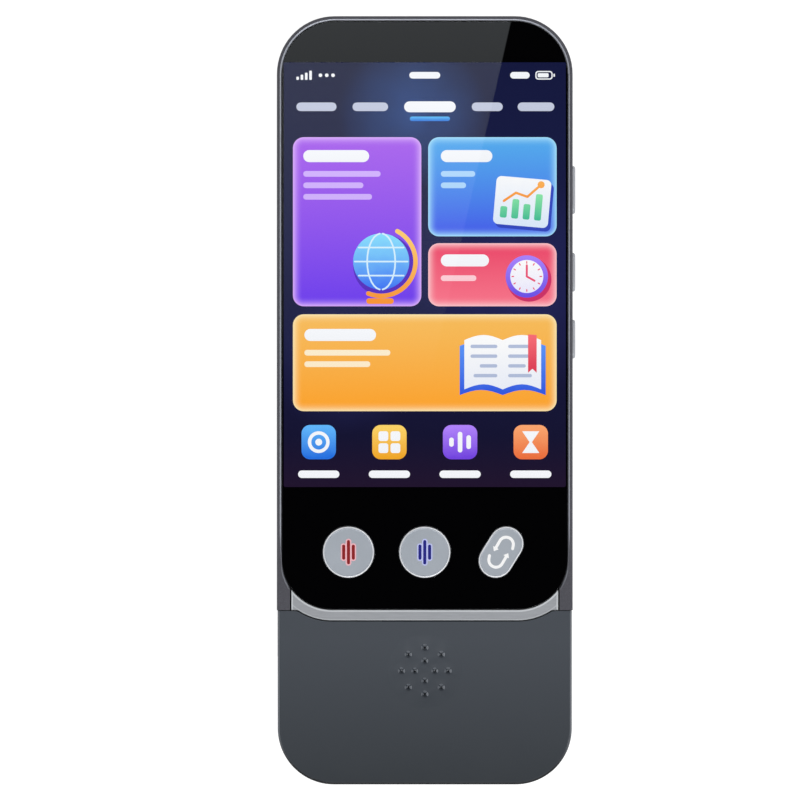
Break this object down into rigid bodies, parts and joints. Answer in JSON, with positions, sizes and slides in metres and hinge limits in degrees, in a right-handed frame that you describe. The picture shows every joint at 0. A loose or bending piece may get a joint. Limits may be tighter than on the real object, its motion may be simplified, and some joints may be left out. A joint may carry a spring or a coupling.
{
  "type": "reading pen",
  "caption": "Flat hand-held text scanner with a tall touch screen, front and side keys and a flip lid over its scanning nose.",
  "frame": {"origin": "middle of the flat back face, at half the pen's length", "axes": "+Y along the pen, from the lid to the top end; +Z out of the screen; +X to the side keys"},
  "size_m": [0.0522, 0.134, 0.0153],
  "materials": {
    "body_grey": "satin grey with a fine metal flake",
    "lid_grey": "matte, fine grain",
    "cover_glass": "polished, black mask behind",
    "display": "lit colour display",
    "silver": "satin silver",
    "key_metal": "satin",
    "steel": "brushed",
    "board": "solder mask",
    "cell": "foil pouch",
    "film": "thin film",
    "copper": "copper trace on film",
    "black_plastic": "matte",
    "white_plastic": "diffusing",
    "clear": "polished clear plastic",
    "foam": "soft foam",
    "magnet": "plated"
  },
  "bodies": {
    "body": {"front_frame": "body_grey", "rear_housing": "body_grey", "cover_glass": "cover_glass", "display_panel": "display", "nose_housing": "silver", "hinge_pin": "steel", "case_screws": "steel", "board_screws": "steel", "nose_screws": "steel", "mid_plate": "steel", "shield_cans": "steel", "usb_port": "steel", "side_switches": "steel", "key_switches": "steel", "main_board": "board", "side_board": "board", "key_board": "board", "battery": "cell", "battery_tape": "film", "camera_ribbon": "film", "antenna": "copper", "camera_module": "black_plastic", "tip_switch": "black_plastic", "microphone": "black_plastic", "speaker": "black_plastic", "backlight": "white_plastic", "scan_lamps": "white_plastic", "camera_lens": "clear", "speaker_gasket": "foam", "nose_magnets": "magnet"},
    "lid": {"lid_shell": "lid_grey", "grille_mesh": "black_plastic", "lid_pad": "foam", "lid_magnets": "magnet"},
    "scan_tip": {"scan_tip": "clear"},
    "red_talk_key": {"red_talk_key": "silver"},
    "blue_talk_key": {"blue_talk_key": "silver"},
    "swap_key": {"swap_key": "silver"},
    "power_key": {"power_key": "key_metal"},
    "volume_up_key": {"volume_up_key": "key_metal"},
    "volume_down_key": {"volume_down_key": "key_metal"}
  },
  "joints": [
    {"name": "lid_hinge", "type": "hinge", "parent": "body", "child": "lid", "pos_m": [0, -0.045, -0.0003], "axis": [1, 0, 0], "range_deg": [0, 180]},
    {"name": "red_talk_key_press", "type": "slide", "parent": "body", "child": "red_talk_key", "axis": [0, 0, -1], "range_m": [0, 0.0004], "stiffness_N_per_m": 600},
    {"name": "blue_talk_key_press", "type": "slide", "parent": "body", "child": "blue_talk_key", "axis": [0, 0, -1], "range_m": [0, 0.0004], "stiffness_N_per_m": 600},
    {"name": "swap_key_press", "type": "slide", "parent": "body", "child": "swap_key", "axis": [0, 0, -1], "range_m": [0, 0.0004], "stiffness_N_per_m": 600},
    {"name": "power_key_press", "type": "slide", "parent": "body", "child": "power_key", "axis": [-1, 0, 0], "range_m": [0, 0.00035], "stiffness_N_per_m": 600},
    {"name": "volume_up_key_press", "type": "slide", "parent": "body", "child": "volume_up_key", "axis": [-1, 0, 0], "range_m": [0, 0.00035], "stiffness_N_per_m": 600},
    {"name": "volume_down_key_press", "type": "slide", "parent": "body", "child": "volume_down_key", "axis": [-1, 0, 0], "range_m": [0, 0.00035], "stiffness_N_per_m": 600},
    {"name": "scan_tip_press", "type": "slide", "parent": "body", "child": "scan_tip", "axis": [0, 1, 0], "range_m": [0, 0.0008], "stiffness_N_per_m": 400}
  ]
}
